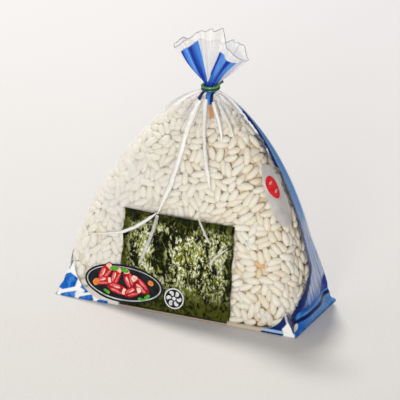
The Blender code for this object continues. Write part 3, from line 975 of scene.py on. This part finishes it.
plateInks = [
    printInk("plate black", linear(14, 15, 18), linear(32, 34, 38), 3.0),
    printInk("plate rim", linear(206, 210, 212), linear(160, 166, 170), 4.0),
    printInk("print red", linear(206, 30, 42), linear(140, 12, 24), 2.2),
    printInk("print pink", linear(234, 128, 126), linear(214, 76, 84)),
    printInk("print cream", linear(246, 222, 202), linear(232, 176, 156)),
    printInk("print green", linear(98, 190, 56), linear(60, 140, 36)),
    printInk("print orange", linear(240, 150, 66), linear(214, 110, 50)),
]
black, rim, red, pink, creamInk, green, orange = range(7)
plate = {
    "x": -24.2, "z": 9.7, "a": 18.2, "b": 8.1, "tilt": 0.03,
    # slices of meat: place from the plate's middle, tilt in degrees, size
    "slices": ((-8.8, 3.4, 58, 0.95), (-9.2, -0.4, 14, 0.8), (-3.6, 2.8, 66, 0.85), (2.2, 2.6, 108, 0.9), (7.6, 0.9, 138, 1.0), (-2.6, -2.6, -12, 0.95), (4.6, -2.6, 24, 0.85)),
    "greens": ((-4.6, 5.9, 10, 1.0), (0.4, 6.0, -14, 0.9), (11.2, -3.6, 35, 0.8), (-7.4, -4.6, -30, 0.8), (8.6, -5.0, -10, 0.7)),
    "carrots": ((-12.6, -1.4, 40, 1.0), (12.6, 2.6, -30, 0.8)),
}
slice = (
    # a slice's own outlines, in millimetres, one above the other
    ([(-5.4, -0.8), (-3.6, 1.9), (0.6, 2.5), (4.8, 1.6), (5.4, -0.6), (2.2, -2.2), (-3.2, -2.3)], red),
    ([(-4.4, 0.0), (-2.8, 1.5), (0.8, 2.0), (1.4, 0.6), (-1.6, 0.0)], pink),
    ([(-3.8, -1.0), (-0.6, -0.5), (2.6, -1.2), (2.0, -1.7), (-2.6, -1.7)], pink),
    ([(-2.6, 0.2), (0.2, 1.2), (1.6, 0.9), (-0.4, 0.1)], creamInk),
    ([(2.4, -1.2), (2.6, 1.7), (4.6, 1.2), (5.0, -0.5), (3.4, -1.5)], creamInk),
)
bean = (([(-2.2, -0.5), (-1.4, 0.8), (1.6, 0.9), (2.2, 0.0), (1.2, -0.9), (-1.4, -1.0)], green),)
disc = (([(-1.7, -0.8), (-1.5, 1.0), (0.4, 1.5), (1.8, 0.6), (1.4, -1.0), (-0.2, -1.5)], orange),)


def makePlate():
    x, z, a, b = plate["x"], plate["z"], plate["a"], plate["b"]
    shapes = [
        (ellipse(x, z, a, b, plate["tilt"]), 0.10, black),
        (ellipse(x, z, a - 0.9, b - 0.8, plate["tilt"]), 0.13, rim),
        (ellipse(x, z + 0.1, a - 1.4, b - 1.25, plate["tilt"]), 0.16, black),
    ]
    lift = 0.2
    for outlines, places in ((slice, plate["slices"]), (bean, plate["greens"]), (disc, plate["carrots"])):
        for dx, dz, tilt, size in places:
            cos, sin = size * math.cos(math.radians(tilt)), size * math.sin(math.radians(tilt))
            for outline, number in outlines:
                turned = [(x + dx + px * cos - pz * sin, z + dz + px * sin + pz * cos) for px, pz in outline]
                shapes.append((rounded(turned), lift, number))
                lift += 0.012
    return printShapes("platePrint", shapes, plateInks)


def makeCrest():
    x, z, r = -0.9, 7.4, 4.5
    shapes = [
        (ellipse(x, z, r, r), 0.10, 0),
        (ellipse(x, z, r - 0.55, r - 0.55), 0.13, 1),
    ]
    for i in range(6):  # six curled petals round a small disc
        turnBy = 2 * math.pi * i / 6
        petal = [(1.2, -0.5), (2.3, -1.2), (3.4, -0.6), (3.5, 0.5), (2.7, 0.9), (2.2, 0.2), (1.3, 0.4)]
        outline = [
            (x + px * math.cos(turnBy) - pz * math.sin(turnBy), z + px * math.sin(turnBy) + pz * math.cos(turnBy))
            for px, pz in petal
        ]
        shapes.append((rounded(outline), 0.16, 0))
    shapes.append((ellipse(x, z, 0.8, 0.8, count=20), 0.16, 0))
    inks = [printInk("crest white", linear(228, 230, 230), linear(205, 208, 210)), printInk("crest black", linear(30, 32, 28))]
    return printShapes("crestPrint", shapes, inks)


makePlate()
makeCrest()


def makeSideLabel():
    # a pale translucent panel with a round red seal, on the right-hand side
    finish = Finish("label", 0.4)
    patch = finish.noise(finish.spot(), 5.0, 3.0)
    colour = finish.mix(linear(224, 223, 222), linear(204, 198, 195), patch.over(0.5, 0.3))
    pale = finish.feed(Base_Color=colour, Alpha=0.78 + 0.1 * patch)
    outline = rounded([(-5.6, 68.6), (-0.8, 67.2), (0.6, 58.2), (1.0, 49.6), (-1.2, 42.6), (-7.0, 42.0), (-9.2, 47.2), (-9.0, 54.7), (-7.8, 62.6)])
    seal = printInk("seal red", linear(236, 50, 58), linear(216, 34, 46), 1.6)
    mark = printInk("seal pale", linear(240, 180, 160))
    shapes = [
        (outline, 0.10, 0),
        (ellipse(-4.8, 59.0, 2.7, 4.7), 0.14, 1),
    ]
    for px, pz, a, b in ((-5.2, 60.9, 1.0, 0.45), (-4.4, 57.3, 1.0, 0.5)):
        shapes.append((ellipse(px, pz, a, b, 0.5, 20), 0.17, 2))
    return printShapes("sideLabel", shapes, [pale, seal, mark], toward=(-1, 0, 0))


makeSideLabel()
print("print laid")



# white ribbons raised on the film along its folds from the tie: painted highlights, grey at their sides as painted
# shade
creaseHighlights = {
    # points on the front in millimetres, width in the middle, opacity
    "long": ([(3.6, 92.4), (-0.3, 79.8), (-2.7, 67.0), (-5.4, 56.0), (-8.6, 47.5), (-10.6, 42.0)], 2.7, 0.92, 0.5),
    "branch": ([(-10.0, 43.6), (-13.9, 40.1), (-20.1, 35.2), (-26.5, 31.6), (-41.0, 27.6)], 1.7, 0.88, 0.0),
    "overNori": ([(-10.4, 42.0), (-12.6, 33.4), (-16.2, 23.2), (-17.9, 19.0)], 1.9, 0.45, 0.3),
    "middle": ([(6.6, 93.0), (7.2, 80.5), (9.4, 69.2), (11.4, 61.5), (12.6, 56.5)], 2.5, 0.85, 0.3),
    "right": ([(9.8, 92.4), (13.6, 84.0), (15.9, 77.0)], 1.9, 0.85, 0.2),
    "farRight": ([(12.6, 91.8), (18.1, 84.4), (21.5, 77.0)], 1.1, 0.7, 0.1),
    "noriMiddle": ([(8.2, 43.5), (11.4, 37.6), (14.5, 32.8)], 1.3, 0.5, 0.1),
    "noriRight": ([(22.4, 33.2), (18.1, 29.8), (14.3, 25.6), (15.6, 21.8)], 1.2, 0.5, 0.0),
}


def makeCreaseHighlights():
    materials = {}
    joined = bmesh.new()
    opacities = sorted({spec[2] for spec in creaseHighlights.values()})
    for opacity in opacities:
        finish = Finish(f"crease {int(opacity * 100)}", 0.3)
        patch = finish.noise(finish.spot(), 2.5, 3.0)
        out, along, _ = finish.parts(finish.node("ShaderNodeUVMap", {"uv_map": "ribbon"}))
        fromMiddle = abs(out - 0.5 + (patch - 0.5) * 0.35) * 2.0
        # white in the middle as a painted highlight, greyer at the sides as painted shade
        colour = finish.mix(linear(240, 239, 234), linear(204, 202, 198), fromMiddle.over(0.5, 0.4) * 0.8)
        alpha = fromMiddle.under(0.82, 0.35) * (patch * 0.8 + (opacity - 0.25)).least(1.0)
        finish.material.surface_render_method = "BLENDED"
        materials[opacity] = finish.feed(Base_Color=colour, Alpha=alpha)
    for points, width, opacity, blunt in creaseHighlights.values():
        count = 14 * (len(points) - 1)
        knots = np.array(points)
        at = np.linspace(0, len(points) - 1, count + 1)
        route = np.stack([np.interp(at, range(len(points)), knots[:, i]) for i in (0, 1)], axis=1)
        for _ in range(12):
            route[1:-1] = (route[:-2] + 2 * route[1:-1] + route[2:]) / 4
        bm = bmesh.new()
        ribbon = bm.loops.layers.uv.new("ribbon")
        bmesh.ops.create_grid(bm, x_segments=count, y_segments=4, size=0.5)
        for face in bm.faces:
            for loop in face.loops:
                loop[ribbon].uv = (loop.vert.co.y + 0.5, loop.vert.co.x + 0.5)
        heading = np.gradient(route, axis=0)
        heading /= np.linalg.norm(heading, axis=1, keepdims=True)
        for vert in bm.verts:
            i = round((vert.co.x + 0.5) * count)
            side = vert.co.y * 2  # -1 to 1 across
            along = i / count
            taper = min(1, (blunt + along * (1 - blunt)) * 4) * min(1, (1 - along) * 3.2) ** 0.8
            half = width / 2 * max(taper, 0.04)
            x = route[i, 0] - heading[i, 1] * side * half
            z = route[i, 1] + heading[i, 0] * side * half
            place, normal = onFilm(x * mm, z * mm)
            vert.co = place + normal * (0.12 + 0.38 * (1 - abs(side)) * taper) * mm
        for face in bm.faces:
            face.material_index = opacities.index(opacity)
            face.normal_update()
            if face.normal.y > 0:
                face.normal_flip()
        mesh = bpy.data.meshes.new("part")
        bm.to_mesh(mesh)
        bm.free()
        joined.from_mesh(mesh)
        bpy.data.meshes.remove(mesh)
    return pieceOf("filmCreaseHighlights", joined, [materials[opacity] for opacity in opacities])


makeCreaseHighlights()
print("creases drawn")



tieForm = {"radius": 0.6 * mm, "turns": 2, "pitch": 1.3 * mm, "tail": 3.5 * mm, "twists": 1.5, "heading": math.radians(80), "slack": 0.35 * mm}


def tieRoute():
    form = tieForm
    radius = bagForm["neckRadius"] + bagForm["neckPleatDepth"] + form["radius"] + form["slack"]
    turns = np.linspace(0, form["turns"], form["turns"] * 40 + 1)
    angle = form["heading"] + 2 * math.pi * turns
    height = form["pitch"] * (turns - form["turns"] / 2)
    ring = np.stack([radius * np.cos(angle), radius * np.sin(angle), height], axis=1)
    along = np.linspace(0, 1, 25)[1:]
    out = np.array([math.cos(form["heading"]), math.sin(form["heading"]), 0])
    aside = np.array([-out[1], out[0], 0])
    up = np.array([0, 0, 1.0])
    tails = []
    for hand, end in ((-1, ring[0]), (1, ring[-1])):
        phase = math.pi / 2 * hand + 2 * math.pi * form["twists"] * along
        settle = ease(0, 0.3, along)[:, None]
        twist = (form["radius"] + 0.2 * mm) * (np.cos(phase)[:, None] * aside + np.sin(phase)[:, None] * up)
        straight = np.outer((1.2 * mm + form["tail"]) * along, out)
        tails.append(end * (1 - settle) + radius * out * settle + straight + twist * settle)
    return np.concatenate([tails[0][::-1], ring, tails[1]]) + np.array([*bagForm["neckShift"], bagForm["neckHeight"]])


def makeTie():
    finish = Finish("tie wire", 0.3, Coat_Weight=0.4, Coat_Roughness=0.15)
    spot = finish.spot()
    patch = finish.noise(spot, 1.4, 2.0)
    x, y, z = finish.parts(spot)
    colour = finish.mix(linear(14, 96, 84), linear(8, 62, 60), patch.over(0.5, 0.3))
    # a painted highlight: lighter yellow-green along the top of the tie
    colour = finish.mix(colour, linear(120, 186, 88), z.over(97.6, 0.8) * 0.55)
    route = tieRoute()
    curve = bpy.data.curves.new("tieWire", "CURVE")
    curve.dimensions = "3D"
    curve.bevel_depth = tieForm["radius"]
    curve.bevel_resolution = 4
    curve.use_fill_caps = True
    spline = curve.splines.new("POLY")
    spline.points.add(len(route) - 1)
    for point, place in zip(spline.points, route):
        point.co = (*place, 1)
    holder = bpy.data.objects.new("tieRoute", curve)
    bpy.context.scene.collection.objects.link(holder)
    bpy.context.view_layer.update()
    mesh = bpy.data.meshes.new_from_object(holder.evaluated_get(bpy.context.evaluated_depsgraph_get()))
    bpy.data.objects.remove(holder)
    mesh.name = "tieWire"
    mesh.materials.clear()
    return placed("tieWire", mesh, finish.feed(Base_Color=colour), "twist_tie")


makeTie()



def makeMouthEdge():
    rim = mouthSection(1)
    finish = Finish("film edge", 0.35)
    patch = finish.noise(finish.spot(), 3.0, 2.0)
    # grey along the open edge: a painted reflection where the film is seen edge-on
    colour = finish.mix(linear(120, 120, 124), linear(176, 176, 178), patch.over(0.45, 0.2))
    curve = bpy.data.curves.new("mouthEdge", "CURVE")
    curve.dimensions = "3D"
    curve.bevel_depth = 0.16 * mm
    curve.bevel_resolution = 1
    spline = curve.splines.new("POLY")
    spline.points.add(len(rim) - 1)
    for point, place in zip(spline.points, rim):
        point.co = (*place, 1)
    spline.use_cyclic_u = True
    holder = bpy.data.objects.new("mouthRoute", curve)
    bpy.context.scene.collection.objects.link(holder)
    bpy.context.view_layer.update()
    mesh = bpy.data.meshes.new_from_object(holder.evaluated_get(bpy.context.evaluated_depsgraph_get()))
    bpy.data.objects.remove(holder)
    mesh.name = "mouthEdge"
    mesh.materials.clear()
    return placed("mouthEdge", mesh, finish.feed(Base_Color=colour))


makeMouthEdge()
print("tie and mouth made")



def makeFloor():
    bm = bmesh.new()
    bmesh.ops.create_grid(bm, x_segments=2, y_segments=2, size=3)
    bmesh.ops.translate(bm, verts=bm.verts, vec=(0, 0, -0.2 * mm))
    mesh = bpy.data.meshes.new("floor")
    bm.to_mesh(mesh)
    bm.free()
    floor = bpy.data.objects.new("floor", mesh)
    bpy.context.scene.collection.objects.link(floor)
    finish = Finish("paper floor", 0.9, Specular_IOR_Level=0.05)
    spot = finish.spot()
    x, y, z = finish.parts(spot)
    grain = finish.noise(spot, 1.2, 3.0)
    colour = finish.mix(linear(224, 222, 218), linear(219, 217, 212), grain.over(0.5, 0.4))
    # lighter towards the back: a painted fall-off of light
    colour = finish.mix(colour, linear(230, 229, 229), y.over(120.0, 360.0))
    mesh.materials.append(finish.feed(Base_Color=colour))


def areaLight(name, place, target, size, power, colour):
    lamp = bpy.data.lights.new(name, "AREA")
    lamp.shape = "DISK"
    lamp.size = size
    lamp.energy = power
    lamp.color = colour
    holder = bpy.data.objects.new(name, lamp)
    holder.location = place
    holder.rotation_euler = (Vector(target) - Vector(place)).to_track_quat("-Z", "Y").to_euler()
    bpy.context.scene.collection.objects.link(holder)


def makeLightAndCamera():
    scene = bpy.context.scene
    world = bpy.data.worlds.new("studio")
    world.use_nodes = True
    world.node_tree.nodes["Background"].inputs["Color"].default_value = (0.975, 0.955, 1.0, 1)
    world.node_tree.nodes["Background"].inputs["Strength"].default_value = 0.40
    scene.world = world
    areaLight("key", (-0.56, 0.38, 1.16), (0, 0, 0.0), 0.22, 12.3, (1.0, 0.985, 0.94))
    areaLight("fill", (0.25, -1.25, 0.22), (0, 0, 0.05), 0.45, 8.4, (1.0, 0.99, 0.96))
    scene.view_settings.view_transform = "Standard"

    turnBy, lift, distance = math.radians(24), math.radians(24), 5.0
    back = Vector((math.sin(turnBy) * math.cos(lift), -math.cos(turnBy) * math.cos(lift), math.sin(lift)))
    target = Vector((4.0, -4.5, 47.0)) * mm
    lens = bpy.data.cameras.new("camera")
    lens.sensor_width = 36
    lens.lens = 36 * distance / (400 * 0.417 * mm)
    lens.clip_end = 20
    holder = bpy.data.objects.new("camera", lens)
    holder.location = target + back * distance
    holder.rotation_euler = (-back).to_track_quat("-Z", "Y").to_euler()
    scene.collection.objects.link(holder)
    scene.camera = holder


makeFloor()
makeLightAndCamera()
print("stage set")
